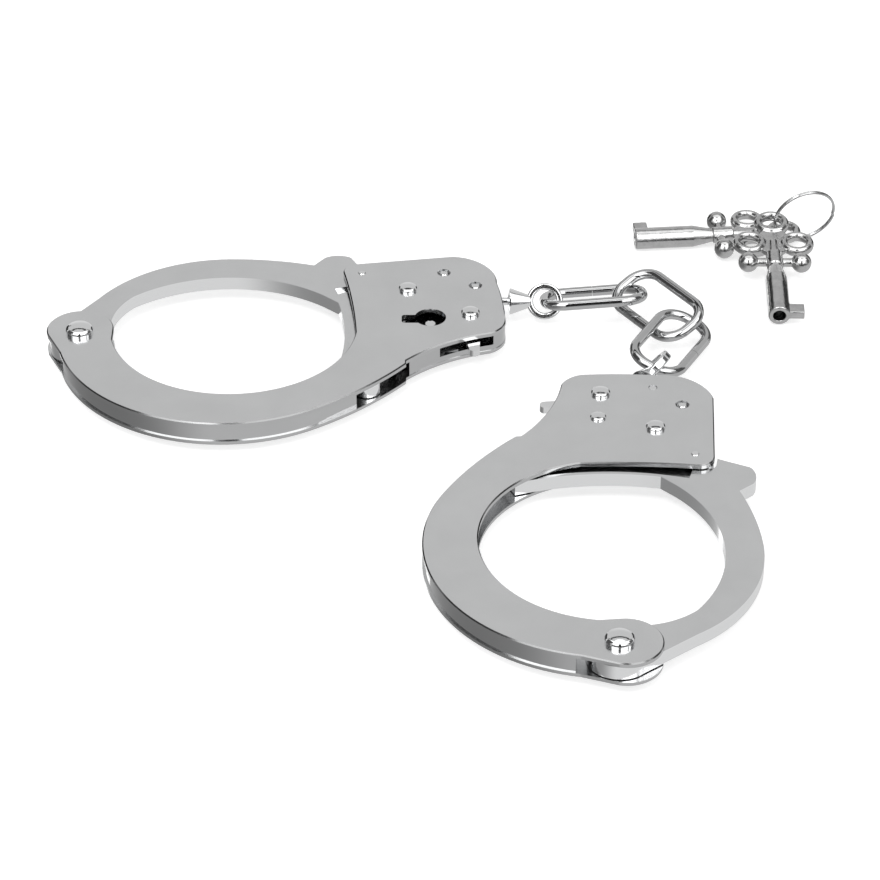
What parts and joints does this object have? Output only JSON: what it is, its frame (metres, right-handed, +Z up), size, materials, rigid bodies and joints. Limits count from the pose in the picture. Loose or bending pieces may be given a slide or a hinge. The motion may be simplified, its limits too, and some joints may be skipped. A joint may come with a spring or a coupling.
{
  "type": "handcuffs",
  "caption": "Pair of chain-linked swing-through handcuffs with side release levers, swivels and keys on a split ring.",
  "frame": {"origin": "middle of the footprint of the lying set, on the surface that it lies on", "axes": "+Z up; +X from the left cuff towards the chain and the right cuff; +Y from the right cuff towards the keys"},
  "size_m": [0.1768, 0.1752, 0.0147],
  "materials": {
    "case_plate": "nickel plate over stamped steel, satin faces with bright edges",
    "case_strip": "polished nickel plate",
    "strand": "nickel plate, satin face, bright rim",
    "rivet": "polished nickel plate",
    "lock_part": "plain steel, oiled",
    "spring_steel": "blued spring steel",
    "swivel": "bright nickel plate",
    "chain": "bright nickel plate on drawn wire",
    "key_metal": "nickel plate on a cast body, softer shine"
  },
  "bodies": {
    "left_cuff": {"left_keyhole_cheek": "case_plate", "left_plain_cheek": "case_plate", "left_bow_spacer": "case_strip", "left_lock_wall": "case_strip", "left_pivot_rivet": "rivet", "left_pawl_rivet": "rivet", "left_case_rivet": "rivet", "left_case_pins": "rivet", "left_nose_pins": "rivet", "left_key_post": "rivet", "left_pawl_spring": "spring_steel"},
    "left_strand": {"left_strand": "strand"},
    "left_pawl": {"left_pawl": "lock_part", "left_release_lever": "swivel"},
    "left_swivel": {"left_swivel": "swivel", "left_swivel_head": "swivel"},
    "right_cuff": {"right_keyhole_cheek": "case_plate", "right_plain_cheek": "case_plate", "right_bow_spacer": "case_strip", "right_lock_wall": "case_strip", "right_pivot_rivet": "rivet", "right_pawl_rivet": "rivet", "right_case_rivet": "rivet", "right_case_pins": "rivet", "right_nose_pins": "rivet", "right_key_post": "rivet", "right_pawl_spring": "spring_steel"},
    "right_strand": {"right_strand": "strand"},
    "right_pawl": {"right_pawl": "lock_part", "right_release_lever": "swivel"},
    "right_swivel": {"right_swivel": "swivel", "right_swivel_head": "swivel"},
    "chain_link_1": {"chain_link_1": "chain"},
    "chain_link_2": {"chain_link_2": "chain"},
    "chain_link_3": {"chain_link_3": "chain"},
    "key_ring": {"key_ring": "chain"},
    "key_1": {"key_1": "key_metal"},
    "key_2": {"key_2": "key_metal"}
  },
  "joints": [
    {"name": "left_strand_hinge", "type": "hinge", "parent": "left_cuff", "child": "left_strand", "pos_m": [-0.08105, 0.02916, 0.0047], "axis": [0, 0, 1], "range_deg": [0, 130]},
    {"name": "left_pawl_hinge", "type": "hinge", "parent": "left_cuff", "child": "left_pawl", "pos_m": [-0.00955, 0.04655, 0.0047], "axis": [0, 0, 1], "range_deg": [-4.5, 0], "stiffness_Nm_per_rad": 0.02, "springref_deg": -4.5},
    {"name": "left_swivel_spin", "type": "hinge", "parent": "left_cuff", "child": "left_swivel", "pos_m": [0.00965, 0.04596, 0.0047], "axis": [1, 0, 0], "range_deg": [-90, 90]},
    {"name": "link_1_swing", "type": "hinge", "parent": "left_swivel", "child": "chain_link_1", "pos_m": [0.02412, 0.04596, 0.0047], "axis": [0, 0.5708, 0.8211], "range_deg": [-10, 30]},
    {"name": "link_2_swing", "type": "hinge", "parent": "chain_link_1", "child": "chain_link_2", "pos_m": [0.04058, 0.05264, 0.00365], "axis": [0.809, -0.5366, 0.2399], "range_deg": [-5, 14]},
    {"name": "link_3_swing", "type": "hinge", "parent": "chain_link_2", "child": "chain_link_3", "pos_m": [0.04467, 0.03583, 0.00312], "axis": [-0.5882, 0.8082, 0.028], "range_deg": [-5, 14]},
    {"name": "right_swivel_swing", "type": "hinge", "parent": "chain_link_3", "child": "right_swivel", "pos_m": [0.04379, 0.01969, 0.00442], "axis": [-0.8708, 0.4156, 0.2626], "range_deg": [-15, 15]},
    {"name": "right_swivel_spin", "type": "hinge", "parent": "right_swivel", "child": "right_cuff", "pos_m": [0.04038, 0.01147, 0.0047], "axis": [0.3822, 0.9226, -0.0523], "range_deg": [-60, 60]},
    {"name": "right_strand_hinge", "type": "hinge", "parent": "right_cuff", "child": "right_strand", "pos_m": [0.03235, -0.08042, 0.0047], "axis": [0, 0, -1], "range_deg": [-2.5, 127.5]},
    {"name": "right_pawl_hinge", "type": "hinge", "parent": "right_cuff", "child": "right_pawl", "pos_m": [0.04281, -0.00759, 0.0047], "axis": [0, 0, -1], "range_deg": [-4.5, 0], "stiffness_Nm_per_rad": 0.02, "springref_deg": -4.5},
    {"name": "keys_lift", "type": "slide", "parent": "left_cuff", "child": "key_ring", "axis": [0, 0, 1], "range_m": [0, 0.06]},
    {"name": "key_1_swing", "type": "hinge", "parent": "key_ring", "child": "key_1", "pos_m": [0.07596, 0.07802, 0.0025], "axis": [0, 0, 1], "range_deg": [-25, 0]},
    {"name": "key_2_swing", "type": "hinge", "parent": "key_ring", "child": "key_2", "pos_m": [0.07436, 0.07673, 0.0056], "axis": [0, 0, 1], "range_deg": [0, 25]}
  ]
}
